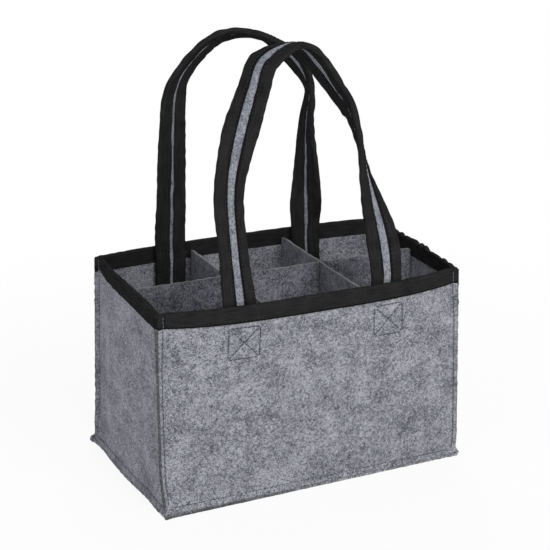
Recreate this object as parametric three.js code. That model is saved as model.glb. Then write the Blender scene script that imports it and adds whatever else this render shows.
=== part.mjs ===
// Felt bottle bag: five felt panels sewn edge to edge with the seams on the outside, black tape bound
// over the rim, two strap handles sewn inside the long walls and a loose felt divider for six bottles.
// Millimetres, +Z up, width along X, front wall toward -Y, origin on the floor under the middle.
import * as THREE from 'three';

// Bag body, measured between the middles of the felt.
const WIDTH = 241;
const DEPTH = 142;
const HEIGHT = 155;
const FELT = 2;
const GAP = 0.3;

// How the soft walls stand: the rim corners are drawn in, the long walls bulge at the rim,
// and the lower edges flare out over the margin of the bottom panel.
const DEPTH_DRAWN_IN = 5;
const WIDTH_DRAWN_IN = 0.7;
const FRONT_BULGE = 12;
const BACK_BULGE = 5;
const BULGE_SHARPNESS = 3;
const BULGE_RISE = 1.4;
const FLARE = 3;
const FLARE_HEIGHT = 2 * FLARE;

// Upright seams: two panel edges laid together and pinched outward, turned a little off the long walls.
const SEAM_TURN_DEG = 25;
const SEAM_REACH = 2.5;
const SEAM_BEND = 1.2;
const SEAM_SPREAD_DROP = 45;
const EAR_REACH = 2;
const EAR_LENGTH = 9;

// Binding tape folded over the rim of each wall.
const TAPE = 0.8;
const BINDING_OUTSIDE = 13;
const BINDING_INSIDE = 12;

// Strap handles: a felt core with a tape folded over each long edge.
const STRAP_WIDTH = 25;
const STRAP_CORE = 2;
const STRAP_TAPE_OUTER = 9.5;
const STRAP_TAPE_INNER = 11.2;
const FOOT_SPREAD = 0.482;
const FOOT_BOTTOM = 112;
const HANDLE_RISE = 169;
const LEAN_IN_DEG = 8;
const STRAP_CURL_DEG = 25;
const CURL_RUN_IN = 0.18;
const STRAP_STATIONS = 54;
const STRAP_FACET = 4.4;

// Sewing thread.
const THREAD = 0.7;
const SEAM_THREAD_ABOVE_EDGE = 4.5;
const RIM_THREAD_ABOVE_EDGE = 2;
const BOX_WIDTH = 24;
const BOX_HEIGHT = 23;
const BOX_BELOW_TAPE = 4;
const BOX_LINE = 1;

// Divider: one long wall and two cross walls, half lapped.
const DIVIDER_BELOW_RIM = 6;
const CELLS_ALONG = 3;

const LIGHT_FELT = 0x9a9da3;
const INSIDE_FELT = 0x7f838b;
const BLACK_TAPE = 0x20201f;
const DARK_THREAD = 0x33353b;

// Values that follow from the ones above.
const SQ2 = Math.SQRT1_2;
const FOOT_SPACING = FOOT_SPREAD * WIDTH;
const SEAM_TURN = THREE.MathUtils.degToRad(SEAM_TURN_DEG);
const EDGE_LIFT = (FELT / 2) * SQ2;
const WALL_FOOT = FELT + GAP + EDGE_LIFT;
const HALF_SEAM = (FELT + GAP) / 2;
const HALF_SEAM_RIM = HALF_SEAM + TAPE + GAP;
const STRAP_HALF = STRAP_CORE / 2 + GAP + TAPE;
const TAPE_FACE = FELT / 2 + GAP + TAPE;
const RIM_TOP = HEIGHT + GAP + TAPE;
const STRAP_INSET = TAPE_FACE + GAP + STRAP_HALF;
const HINGE_Z = RIM_TOP + GAP;
const DIVIDER_TOP = HEIGHT - DIVIDER_BELOW_RIM;
const DIVIDER_FLOOR = FELT + GAP;

const group = new THREE.Group();
group.name = 'bottle_bag';

function addMesh(name, geometry, color) {
  const material = new THREE.MeshStandardMaterial({ color, roughness: 0.95 });
  const mesh = new THREE.Mesh(geometry, material);
  mesh.name = name;
  group.add(mesh);
  return mesh;
}

function flipFaces(indices) {
  for (let i = 0; i < indices.length; i += 3) {
    [indices[i + 1], indices[i + 2]] = [indices[i + 2], indices[i + 1]];
  }
}

function signedVolume(points, indices) {
  const cross = new THREE.Vector3();
  let sum = 0;
  for (let i = 0; i < indices.length; i += 3) {
    cross.crossVectors(points[indices[i + 1]], points[indices[i + 2]]);
    sum += points[indices[i]].dot(cross);
  }
  return sum / 6;
}

// A closed solid through equal sections; outline is the flat shape that every section follows.
function loft(sections, outline) {
  const count = outline.length;
  const points = sections.flat();
  const indices = [];
  for (let s = 0; s + 1 < sections.length; s += 1) {
    for (let k = 0; k < count; k += 1) {
      const next = (k + 1) % count;
      const a = s * count + k;
      const b = s * count + next;
      indices.push(a, b, b + count, a, b + count, a + count);
    }
  }
  const last = (sections.length - 1) * count;
  const turned = THREE.ShapeUtils.isClockWise(outline) ? -1 : 1;
  for (const [a, b, c] of THREE.ShapeUtils.triangulateShape(outline, [])) {
    const [p, q] = turned > 0 ? [b, c] : [c, b];
    indices.push(a, q, p);
    indices.push(last + a, last + p, last + q);
  }
  if (signedVolume(points, indices) < 0) {
    flipFaces(indices);
  }
  const geometry = new THREE.BufferGeometry();
  geometry.setFromPoints(points);
  geometry.setIndex(indices);
  geometry.computeVertexNormals();
  return geometry;
}

function flat(pairs) {
  return pairs.map(([x, y]) => new THREE.Vector2(x, y));
}

function steps(from, to, count) {
  return Array.from({ length: count + 1 }, (_, i) => from + ((to - from) * i) / count);
}

// The four walls. half is the distance of the wall from the middle, span the half length between corners.
const walls = {
  front: {
    half: DEPTH / 2,
    span: WIDTH / 2,
    bulge: FRONT_BULGE,
    drawnIn: DEPTH_DRAWN_IN,
    spanDrawnIn: WIDTH_DRAWN_IN,
    seam: SEAM_TURN,
    turn: 0,
  },
  right: {
    half: WIDTH / 2,
    span: DEPTH / 2,
    bulge: 0,
    drawnIn: WIDTH_DRAWN_IN,
    spanDrawnIn: DEPTH_DRAWN_IN,
    seam: Math.PI / 2 - SEAM_TURN,
    turn: Math.PI / 2,
  },
  back: {
    half: DEPTH / 2,
    span: WIDTH / 2,
    bulge: BACK_BULGE,
    drawnIn: DEPTH_DRAWN_IN,
    spanDrawnIn: WIDTH_DRAWN_IN,
    seam: SEAM_TURN,
    turn: Math.PI,
  },
  left: {
    half: WIDTH / 2,
    span: DEPTH / 2,
    bulge: 0,
    drawnIn: WIDTH_DRAWN_IN,
    spanDrawnIn: DEPTH_DRAWN_IN,
    seam: Math.PI / 2 - SEAM_TURN,
    turn: -Math.PI / 2,
  },
};

// Outward shift of a wall's corner at height z: drawn in toward the rim, flared at the foot.
function cornerShift(drawnIn, z) {
  const down = Math.max(0, WALL_FOOT + FLARE_HEIGHT - z) / FLARE_HEIGHT;
  return FLARE * down * down - (drawnIn * z) / HEIGHT;
}

// Half the distance between the two felt middles of an upright seam; it opens where tape lies between.
function halfSeam(z) {
  const rise = THREE.MathUtils.smoothstep(z, HEIGHT - SEAM_SPREAD_DROP, HEIGHT - BINDING_OUTSIDE - FELT);
  return HALF_SEAM + (HALF_SEAM_RIM - HALF_SEAM) * rise;
}

// Middle of the felt in the wall's own plan: along the wall and outward from the wall's middle plane.
// u runs -1..1 over the wall, 1..2 over the bend and 2..3 over the pinched edge, the same on both ends.
function wallPlan(wall, u, z) {
  const q = Math.abs(u);
  const side = Math.sign(u);
  const shift = cornerShift(wall.drawnIn, z);
  const h = halfSeam(z);
  const bend = wall.span + cornerShift(wall.spanDrawnIn, z) - h / Math.sin(wall.seam);
  const rise = Math.pow(Math.max(0, z - WALL_FOOT) / HEIGHT, BULGE_RISE);
  const wave = Math.max(0, 1 - Math.pow(Math.min(q, 1), BULGE_SHARPNESS));
  const main = Math.min(q, 1) * (bend - SEAM_BEND);
  const turn = Math.min(Math.max(q - 1, 0), 1);
  const edge = Math.max(q - 2, 0) * (SEAM_REACH + h / Math.tan(wall.seam) - SEAM_BEND);
  const along = main + turn * SEAM_BEND + (turn * SEAM_BEND + edge) * Math.cos(wall.seam);
  const out = shift + wall.bulge * rise * wave + (turn * SEAM_BEND + edge) * Math.sin(wall.seam);
  return new THREE.Vector2(side * along, out);
}

function wallMiddle(wall, u, z) {
  const plan = wallPlan(wall, u, z);
  const point = new THREE.Vector3(plan.x, -(wall.half + plan.y), z);
  return point.applyAxisAngle(new THREE.Vector3(0, 0, 1), wall.turn);
}

// A point at distance w outside the middle of the felt, square to the felt, with corners mitred.
function onWall(wall, u, z, w) {
  const d = 0.004;
  const here = wallMiddle(wall, u, z);
  const before = here.clone().sub(wallMiddle(wall, Math.max(u - d, -3), z));
  const after = wallMiddle(wall, Math.min(u + d, 3), z).sub(here);
  const one = before.lengthSq() > 0 ? before.normalize() : after.clone().normalize();
  const two = after.lengthSq() > 0 ? after.normalize() : one.clone();
  const along = one.clone().add(two).normalize();
  const up = wallMiddle(wall, u, z + 0.05).sub(wallMiddle(wall, u, z - 0.05));
  const normal = along.clone().cross(up).normalize();
  const mitre = along.dot(two);
  return here.addScaledVector(normal, w / mitre);
}

// The place along a wall, as u, that lies at a given distance from the wall's middle.
function uAt(wall, distance, z) {
  return distance / wallPlan(wall, 1, z).x;
}

const bendStations = [1, 2, 3];
function stations(count) {
  const ends = bendStations.slice().reverse().map((u) => -u);
  return [...ends, ...steps(-1, 1, count).slice(1, -1), ...bendStations];
}

// A piece that runs along a wall: one section of height and distance, carried through the stations.
function alongWall(wall, us, section) {
  const sections = us.map((u) => section.map(([w, z]) => onWall(wall, u, z, w)));
  return loft(sections, flat(section));
}

// Felt walls.
const wallRows = [
  WALL_FOOT,
  WALL_FOOT + FLARE_HEIGHT / 3,
  WALL_FOOT + (2 * FLARE_HEIGHT) / 3,
  ...steps(WALL_FOOT + FLARE_HEIGHT, HEIGHT - SEAM_SPREAD_DROP, 4),
  ...steps(HEIGHT - SEAM_SPREAD_DROP, HEIGHT - BINDING_OUTSIDE, 3).slice(1),
  HEIGHT,
];
const wallSection = [
  ...wallRows.map((z) => [FELT / 2, z]),
  ...wallRows.slice().reverse().map((z) => [-FELT / 2, z]),
];
const bindingSection = [
  [TAPE_FACE, HEIGHT - BINDING_OUTSIDE],
  [TAPE_FACE, RIM_TOP - TAPE],
  [TAPE_FACE - TAPE, RIM_TOP],
  [TAPE - TAPE_FACE, RIM_TOP],
  [-TAPE_FACE, RIM_TOP - TAPE],
  [-TAPE_FACE, HEIGHT - BINDING_INSIDE],
  [TAPE - TAPE_FACE, HEIGHT - BINDING_INSIDE],
  [TAPE - TAPE_FACE, HEIGHT + GAP],
  [TAPE_FACE - TAPE, HEIGHT + GAP],
  [TAPE_FACE - TAPE, HEIGHT - BINDING_OUTSIDE],
];

function threadSection(face, z) {
  const low = z - THREAD / 2;
  const high = z + THREAD / 2;
  return [[face + GAP, low], [face + GAP + THREAD, low], [face + GAP + THREAD, high], [face + GAP, high]];
}

// Thread down an upright seam, lying in the bend of the felt.
function seamThread(wall, side) {
  const across = [[1.3, 0], [1.3, THREAD], [1.7, THREAD], [1.7, 0]];
  const rows = wallRows.filter((z) => z > WALL_FOOT + FLARE_HEIGHT / 2 && z < HEIGHT - BINDING_OUTSIDE);
  rows.push(HEIGHT - BINDING_OUTSIDE - GAP);
  const sections = rows.map((z) =>
    across.map(([u, w]) => onWall(wall, side * u, z, FELT / 2 + GAP + w)));
  return loft(sections, flat(across));
}

for (const [name, wall] of Object.entries(walls)) {
  const count = wall.bulge > 0 ? 16 : 8;
  const us = stations(count);
  const sewn = steps(-1, 1, count);
  addMesh(`${name}_panel`, alongWall(wall, us, wallSection), LIGHT_FELT);
  addMesh(`${name}_rim_binding`, alongWall(wall, us, bindingSection), BLACK_TAPE);
  const rimThread = threadSection(TAPE_FACE, HEIGHT - BINDING_OUTSIDE + RIM_THREAD_ABOVE_EDGE);
  addMesh(`${name}_binding_thread`, alongWall(wall, sewn, rimThread), DARK_THREAD);
  const baseThread = threadSection(FELT / 2, WALL_FOOT + SEAM_THREAD_ABOVE_EDGE);
  const short = sewn.map((u) => u * 0.99);
  addMesh(`${name}_base_thread`, alongWall(wall, short, baseThread), DARK_THREAD);
  addMesh(`${name}_panel_seam_thread_a`, seamThread(wall, -1), DARK_THREAD);
  addMesh(`${name}_panel_seam_thread_b`, seamThread(wall, 1), DARK_THREAD);
}

// Bottom panel: flat on the floor, its margin under the flared walls, with an ear at each corner.
function bottomPanel() {
  const x = WIDTH / 2 + FLARE + EDGE_LIFT;
  const y = DEPTH / 2 + FLARE + EDGE_LIFT;
  const outline = [];
  for (const [sx, sy] of [[1, 1], [-1, 1], [-1, -1], [1, -1]]) {
    const ear = [
      [sx * x, sy * (y - EAR_LENGTH)],
      [sx * (x + EAR_REACH), sy * (y + EAR_REACH / 2)],
      [sx * (x + EAR_REACH / 2), sy * (y + EAR_REACH)],
      [sx * (x - EAR_LENGTH), sy * y],
    ];
    outline.push(...(sx * sy > 0 ? ear : ear.reverse()));
  }
  return new THREE.ExtrudeGeometry(new THREE.Shape(flat(outline)), { depth: FELT, bevelEnabled: false });
}
addMesh('bottom_panel', bottomPanel(), LIGHT_FELT);

// Strap sections: e runs to the outer edge of the arch, n to the face that is on the outside at the feet.
const halfStrap = STRAP_WIDTH / 2;
const coreHalf = halfStrap - TAPE - GAP;
const tapeBed = STRAP_CORE / 2 + GAP;
const coreSection = [
  [-coreHalf, -STRAP_CORE / 2],
  [coreHalf, -STRAP_CORE / 2],
  [coreHalf, STRAP_CORE / 2],
  [-coreHalf, STRAP_CORE / 2],
];
const outerTapeSection = [
  [halfStrap - STRAP_TAPE_OUTER, tapeBed],
  [halfStrap - TAPE, tapeBed],
  [halfStrap - TAPE, -tapeBed],
  [halfStrap - STRAP_TAPE_INNER, -tapeBed],
  [halfStrap - STRAP_TAPE_INNER, -STRAP_HALF],
  [halfStrap - TAPE / 2, -STRAP_HALF],
  [halfStrap, -tapeBed],
  [halfStrap, tapeBed],
  [halfStrap - TAPE / 2, STRAP_HALF],
  [halfStrap - STRAP_TAPE_OUTER, STRAP_HALF],
];
// Long sides of a section are split so that the twisted faces stay smooth and clear of each other.
function splitSides(section) {
  return section.flatMap(([e, n], i) => {
    const [e2, n2] = section[(i + 1) % section.length];
    const parts = Math.ceil(Math.hypot(e2 - e, n2 - n) / STRAP_FACET);
    return steps(0, 1, parts).slice(0, -1).map((s) => [e + (e2 - e) * s, n + (n2 - n) * s]);
  });
}
const outerTapeSplit = splitSides(outerTapeSection);
const strapPieces = [
  ['core', splitSides(coreSection), INSIDE_FELT],
  ['outer_tape', outerTapeSplit, BLACK_TAPE],
  ['inner_tape', outerTapeSplit.map(([e, n]) => [-e, n]), BLACK_TAPE],
];

// Route of each arch from the left foot to the right one: along as a share of half the foot spacing,
// lean toward the middle of the bag and rise as shares of the handle's rise, and the strap's turn in degrees.
// The turn is zero where the strap faces out of the bag and a right angle where it faces out of the arch.
const routes = {
  front: [
    [-1, 0, 0, 0],
    [-1.094, 0.012, 0.194, -15],
    [-1.12, 0.026, 0.458, -12],
    [-0.997, 0.041, 0.652, 17],
    [-0.724, 0.085, 0.875, 52],
    [-0.518, 0.121, 0.984, 70],
    [0.01, 0.16, 1.016, 106],
    [0.478, 0.158, 0.826, 103],
    [0.622, 0.077, 0.7, 81],
    [0.81, 0.071, 0.423, 49],
    [0.975, 0.028, 0.161, 0],
    [1, 0, 0, 0],
  ],
  back: [
    [-1, 0, 0, 0],
    [-0.964, 0, 0.353, 12],
    [-0.944, 0.013, 0.655, 23],
    [-0.833, 0.009, 0.784, 40],
    [-0.517, 0.042, 0.918, 48],
    [-0.136, 0.039, 0.964, 64],
    [0.366, 0.047, 0.932, 83],
    [0.796, 0.048, 0.814, 73],
    [0.971, 0.07, 0.673, 104],
    [0.992, 0.028, 0.518, 95],
    [0.999, 0.013, 0.239, 58],
    [1, 0, 0, 0],
  ],
};

// The arch is a straight strap at both ends, cut to leave room to lean in over the foot below it.
function archFrames(wall, outward, route) {
  const foot = onWall(wall, uAt(wall, FOOT_SPACING / 2, HEIGHT), HINGE_Z, -STRAP_INSET);
  const points = route.map(([along, lean, rise]) => new THREE.Vector3(
    (along * FOOT_SPACING) / 2,
    foot.y - outward * lean * HANDLE_RISE,
    HINGE_Z + GAP / 2 + rise * HANDLE_RISE,
  ));
  const curve = new THREE.CatmullRomCurve3(points, false, 'catmullrom', 0.5);
  const turns = new THREE.SplineCurve(route.map((row, i) => new THREE.Vector2(i, row[3])));
  return steps(0, 1, STRAP_STATIONS).map((t) => {
    const tangent = curve.getTangent(t);
    const end = t === 0 || t === 1;
    if (end) {
      tangent.set(0, 0, t === 0 ? 1 : -1);
    }
    const face = new THREE.Vector3(0, outward, 0);
    face.addScaledVector(tangent, -face.dot(tangent)).normalize();
    const arch = face.clone().cross(tangent).multiplyScalar(-outward);
    const angle = end ? 0 : THREE.MathUtils.degToRad(turns.getPoint(t).y);
    const n = face.clone().multiplyScalar(Math.cos(angle)).addScaledVector(arch, Math.sin(angle));
    const e = face.clone().multiplyScalar(-Math.sin(angle)).addScaledVector(arch, Math.cos(angle));
    const run = THREE.MathUtils.smoothstep(Math.min(t, 1 - t), 0, CURL_RUN_IN);
    const curl = (run * THREE.MathUtils.degToRad(STRAP_CURL_DEG)) / STRAP_WIDTH;
    return { point: curve.getPoint(t), n, e, end, curl };
  });
}

// A strap section rolled onto an arc, so that both edges turn back from the outer face.
function curled(se, sn, curl) {
  if (curl === 0) {
    return [se, sn];
  }
  const radius = 1 / curl;
  return [(radius + sn) * Math.sin(se * curl), (radius + sn) * Math.cos(se * curl) - radius];
}

const leanSlope = Math.tan(THREE.MathUtils.degToRad(LEAN_IN_DEG));
function archPiece(frames, section) {
  const sections = frames.map(({ point, n, e, end, curl }) => section.map(([se, sn]) => {
    const [ce, cn] = curled(se, sn, curl);
    const place = point.clone().addScaledVector(e, ce).addScaledVector(n, cn);
    if (end) {
      place.z += (STRAP_INSET - sn) * leanSlope;
    }
    return place;
  }));
  return loft(sections, flat(section));
}

// The sewn-down end of a strap, flat against the inside of its wall under the rim and level at the top.
const footRows = [FOOT_BOTTOM, ...steps(HEIGHT - BINDING_INSIDE, HINGE_Z - GAP / 2, 2)];
function footPiece(wall, side, section) {
  const sections = footRows.map((z) => section.map(([e, n]) => {
    const u = uAt(wall, FOOT_SPACING / 2 + e, HEIGHT) * side;
    const place = onWall(wall, u, z, n - STRAP_INSET);
    place.z = Math.min(place.z, HINGE_Z - GAP / 2);
    return place;
  }));
  return loft(sections, flat(section));
}

// A sewn square with a cross, seen on the outside of the wall over each strap end.
function stitchBox(wall, side) {
  const w = BOX_WIDTH / 2;
  const h = BOX_HEIGHT / 2;
  const shape = new THREE.Shape(flat([[-w, -h], [w, -h], [w, h], [-w, h]]));
  const slant = (BOX_LINE / 2) * Math.hypot(w, h);
  const iw = w - BOX_LINE;
  const ih = h - BOX_LINE;
  const crossX = slant / h;
  const crossY = slant / w;
  for (const s of [-1, 1]) {
    const sideways = [[s * crossX, 0], [s * iw, (iw - crossX) * (h / w)], [s * iw, -(iw - crossX) * (h / w)]];
    const upright = [[0, s * crossY], [(ih - crossY) * (w / h), s * ih], [-(ih - crossY) * (w / h), s * ih]];
    shape.holes.push(new THREE.Path(flat(sideways)), new THREE.Path(flat(upright)));
  }
  const box = new THREE.ExtrudeGeometry(shape, { depth: THREAD, bevelEnabled: false });
  const place = box.attributes.position;
  const middle = HEIGHT - BINDING_OUTSIDE - BOX_BELOW_TAPE - h;
  for (let i = 0; i < place.count; i += 1) {
    const u = uAt(wall, side * (FOOT_SPACING / 2) + place.getX(i), middle);
    const p = onWall(wall, u, middle + place.getY(i), FELT / 2 + GAP + place.getZ(i));
    place.setXYZ(i, p.x, p.y, p.z);
  }
  box.computeVertexNormals();
  return box;
}

for (const [name, route] of Object.entries(routes)) {
  const wall = walls[name];
  const outward = name === 'front' ? -1 : 1;
  const frames = archFrames(wall, outward, route);
  for (const [piece, section, color] of strapPieces) {
    addMesh(`${name}_handle_${piece}`, archPiece(frames, section), color);
  }
  for (const [end, sign] of [['left', -1], ['right', 1]]) {
    const side = -outward * sign;
    for (const [piece, section, color] of strapPieces) {
      addMesh(`${name}_${end}_foot_${piece}`, footPiece(wall, side, section), color);
    }
    addMesh(`${name}_${end}_stitch_box`, stitchBox(wall, side), DARK_THREAD);
  }
}

// Room for the divider: the least inside reach of a wall over the divider's height at one place along it.
function insideReach(wall, distance) {
  const reaches = steps(DIVIDER_FLOOR + FLARE_HEIGHT, HEIGHT, 12).map((z) => {
    const lining = z > HEIGHT - BINDING_INSIDE - 2 * FELT ? TAPE_FACE : FELT / 2;
    return wall.half + wallPlan(wall, uAt(wall, distance, z), z).y - lining - GAP;
  });
  return Math.min(...reaches);
}

const half = FELT / 2;
const lap = (DIVIDER_FLOOR + DIVIDER_TOP) / 2;
const slot = half + GAP;

function upright(outline) {
  const shape = new THREE.Shape(flat(outline));
  const geometry = new THREE.ExtrudeGeometry(shape, { depth: FELT, bevelEnabled: false });
  geometry.rotateX(Math.PI / 2);
  geometry.translate(0, half, 0);
  return geometry;
}

// Long wall with slots open at the top, cross walls with slots open at the floor.
const longReach = insideReach(walls.right, 0);
const crossAt = longReach / CELLS_ALONG;
const longOutline = [[-longReach, DIVIDER_FLOOR], [longReach, DIVIDER_FLOOR], [longReach, DIVIDER_TOP]];
for (const x of [crossAt, -crossAt]) {
  longOutline.push([x + slot, DIVIDER_TOP], [x + slot, lap - GAP / 2]);
  longOutline.push([x - slot, lap - GAP / 2], [x - slot, DIVIDER_TOP]);
}
longOutline.push([-longReach, DIVIDER_TOP]);
addMesh('long_divider', upright(longOutline), INSIDE_FELT);

const frontReach = insideReach(walls.front, crossAt);
const backReach = insideReach(walls.back, crossAt);
const crossOutline = [
  [-frontReach, DIVIDER_FLOOR],
  [-slot, DIVIDER_FLOOR],
  [-slot, lap + GAP / 2],
  [slot, lap + GAP / 2],
  [slot, DIVIDER_FLOOR],
  [backReach, DIVIDER_FLOOR],
  [backReach, DIVIDER_TOP],
  [-frontReach, DIVIDER_TOP],
];
for (const [name, x] of [['left', -crossAt], ['right', crossAt]]) {
  const cross = upright(crossOutline);
  cross.rotateZ(Math.PI / 2);
  cross.translate(x, 0, 0);
  addMesh(`${name}_cross_divider`, cross, INSIDE_FELT);
}

export default group;
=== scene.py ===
import math

import bpy
import numpy as np
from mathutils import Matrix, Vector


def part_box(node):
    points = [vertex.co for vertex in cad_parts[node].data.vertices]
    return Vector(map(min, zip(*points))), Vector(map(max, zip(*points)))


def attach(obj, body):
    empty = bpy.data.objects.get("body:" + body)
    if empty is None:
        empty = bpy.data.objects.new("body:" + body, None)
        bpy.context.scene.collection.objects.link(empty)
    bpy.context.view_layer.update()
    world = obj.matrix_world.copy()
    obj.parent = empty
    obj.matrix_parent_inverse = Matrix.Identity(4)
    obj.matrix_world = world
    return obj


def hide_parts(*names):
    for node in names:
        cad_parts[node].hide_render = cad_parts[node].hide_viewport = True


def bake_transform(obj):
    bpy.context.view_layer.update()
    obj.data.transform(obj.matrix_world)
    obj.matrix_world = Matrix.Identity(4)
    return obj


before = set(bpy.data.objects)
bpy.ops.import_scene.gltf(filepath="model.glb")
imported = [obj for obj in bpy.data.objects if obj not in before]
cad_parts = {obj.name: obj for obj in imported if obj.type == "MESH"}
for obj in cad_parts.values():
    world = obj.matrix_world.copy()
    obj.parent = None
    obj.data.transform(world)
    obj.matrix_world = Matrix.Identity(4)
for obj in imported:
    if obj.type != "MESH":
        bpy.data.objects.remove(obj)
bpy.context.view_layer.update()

# Felt walls: four panels of needle-punched felt, 2 mm thick, cut to size and left raw at the edges. The
# upright edges are laid together, pinched outward and sewn; the lower edges flare over the bottom panel.
# All sizes are in millimetres until a mesh is made.
WIDTH, DEPTH, HEIGHT = 241.0, 142.0, 155.0
FELT, PRESSED, GAP = 2.0, 1.3, 0.3  # felt when free, felt pressed in a seam, play between pieces
FLARE, FLARE_HEIGHT = 3.0, 6.0
BULGE_SHARPNESS, BULGE_RISE = 3.0, 1.4
WALL_FOOT = FELT + GAP + FELT / 2 * math.sqrt(0.5)
FELT_SUNK = 1.5  # the felt ends this far below the fold of the rim tape
BASE_CUT = 0.25  # how dark the lower cut edges are, beside 1 for the upright ones, whose dark is partly the felt's cut edge and partly painted shade between the two layers of the seam
CORNER_X, CORNER_Y, BACK_CORNER_Y = 122.0, 74.0, 72.0
FRAY, PILE, TUFT = 0.15, 0.1, 6.0  # how far cut edges fray and faces fluff up, and how wide those tufts are

# The upright seams, which spread toward the rim where two tapes lie between the walls.
TAPE, TAPE_BED, TAPE_PRESSED = 0.6, 0.15, 0.15
TAPE_EDGE = HEIGHT - 13.0  # the rim tape's lower edge on the outside
SEAM_REACH, SEAM_BEND, SEAM_SPREAD_DROP = 2.5, 1.2, 45.0
SEAM_OVERLAP = 0.02
HALF_SEAM = PRESSED / 2 - SEAM_OVERLAP
HALF_SEAM_RIM = PRESSED / 2 + TAPE_BED + TAPE - TAPE_PRESSED

# The sewing that dents the felt: the row along the base and the squares that hold the strap ends.
STITCH_PITCH = 3.1
DENT_WIDTH, BASE_DENT, BOX_DENT = 1.1, 0.55, 0.6
BASE_PULL = 1.5  # how far the base stitches pull the lower edge of the outer face down
BASE_STITCH_Z = WALL_FOOT + 2.6
BOX_WIDTH, BOX_HEIGHT = 24.0, 25.0
BOX_MIDDLE_Z = TAPE_EDGE - 4.5 - BOX_HEIGHT / 2
FOOT_X = 0.482 * WIDTH / 2

# half is a wall's distance from the middle of the bag and span half its length. Its rim is drawn in, sags
# in the middle and drops at both ends; seam is its seams' direction and wide_seam their extra reach.
long_wall_form = dict(half=DEPTH / 2, span=WIDTH / 2, drawn_in=5.0, span_drawn_in=0.7, seam=math.radians(25))
short_wall_form = dict(half=WIDTH / 2, span=DEPTH / 2, drawn_in=0.7, span_drawn_in=5.0, seam=math.radians(65))
walls = {
    "front": dict(long_wall_form, turn=0.0, bulge=12.0, sag=2.2, corner_drop=(3.0, 2.4),
                  wide_seam=(0, 0), seed=3),
    "right": dict(short_wall_form, turn=math.pi / 2, bulge=0.0, sag=0.0, corner_drop=(3.0, 0.6),
                  wide_seam=(0, 0), seed=5),
    "back": dict(long_wall_form, turn=math.pi, bulge=5.0, sag=0.0, corner_drop=(0.6, 0.4),
                 wide_seam=(0, 1.7), seed=7),
    "left": dict(short_wall_form, turn=-math.pi / 2, bulge=0.0, sag=0.0, corner_drop=(0.4, 3.0),
                 wide_seam=(1.7, 0), seed=9),
}


def smooth(x, low, high):
    """0 below low, 1 above high, and 3t squared minus 2t cubed between them."""
    t = np.clip((x - low) / (high - low), 0, 1)
    return t * t * (3 - 2 * t)


def bell(distance, width):
    """1 at no distance, falling off as e to the minus square of distance over width."""
    return np.exp(-((distance / width) ** 2))


def lumps(a, b, size, seed):
    """Soft lumps about size across, spread 1: 24 plane waves of seeded direction, length and phase, added."""
    rng = np.random.default_rng(seed)
    total = 0
    for angle, phase, stretch in rng.uniform((0, 0, 0.7), (math.pi, 2 * math.pi, 1.5), (24, 3)):
        way = a * math.cos(angle) + b * math.sin(angle)
        total = total + np.cos(2 * math.pi * stretch / size * way + phase)
    return total / math.sqrt(12)


def length_along(points):
    """Distance along a line of points, or along each row of a grid of them, from its first point."""
    steps = np.linalg.norm(np.diff(points, axis=-2), axis=-1)
    return np.concatenate([np.zeros_like(steps[..., :1]), np.cumsum(steps, -1)], -1)


def unit(v):
    """The vectors scaled to length 1."""
    return v / np.linalg.norm(v, axis=-1, keepdims=True)


def corner_shift(drawn_in, z):
    """How far out a wall's corner stands: flared with the square of the depth, drawn in with the height."""
    down = np.maximum(0, WALL_FOOT + FLARE_HEIGHT - z) / FLARE_HEIGHT
    return FLARE * down * down - drawn_in * z / HEIGHT


def settled(x, y, z):
    """How the sewn bag has settled. Near the floor the front edge stands askew, further out on the left
    than on the right, with the square of the depth, and the left edge has two shallow dents. The front
    corners move at the floor and the back left one up to the rim, each as a bell round its corner."""
    low = np.clip(1 - z / (32 - 8 * x / CORNER_X), 0, 1) ** 2
    lowest = np.clip(1 - z / 10, 0, 1) ** 2
    askew = (3.9 * x / CORNER_X - 0.5) * low * smooth(-y, -20, 60)
    dents = 1.9 * bell(y + 38, 20) + 1.3 * bell(y - 52, 16)
    front_left = 2.2 * low * bell(np.hypot(x + CORNER_X, y + CORNER_Y), 15)
    front_right = -1.2 * lowest * bell(np.hypot(x - CORNER_X, y + CORNER_Y), 15)
    back_left = 2.2 * z / HEIGHT + 2.1 * smooth(z, 8, 30)
    back_left = back_left * bell(np.hypot(x + CORNER_X, y - BACK_CORNER_Y), 30)
    shift = dents * low * smooth(-x, 60, 120) + front_left + front_right + back_left
    return np.stack([x + shift, y + askew, z], -1)


def half_seam(z):
    """Distance from the middle of the felt to the middle of the upright seam: more toward the rim, where
    the tapes lie between the two walls."""
    spread = smooth(z, HEIGHT - SEAM_SPREAD_DROP, TAPE_EDGE - FELT)
    return HALF_SEAM + (HALF_SEAM_RIM - HALF_SEAM) * spread


def wall_run(wall, z):
    """Distance along a wall from its middle to where it begins to bend into the seam."""
    sharp = wall["span"] + corner_shift(wall["span_drawn_in"], z) - half_seam(z) / math.sin(wall["seam"])
    return sharp - SEAM_BEND


def u_at(wall, distance, z):
    """The u that lies at a distance along the wall from its middle."""
    return distance / wall_run(wall, z)


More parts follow.
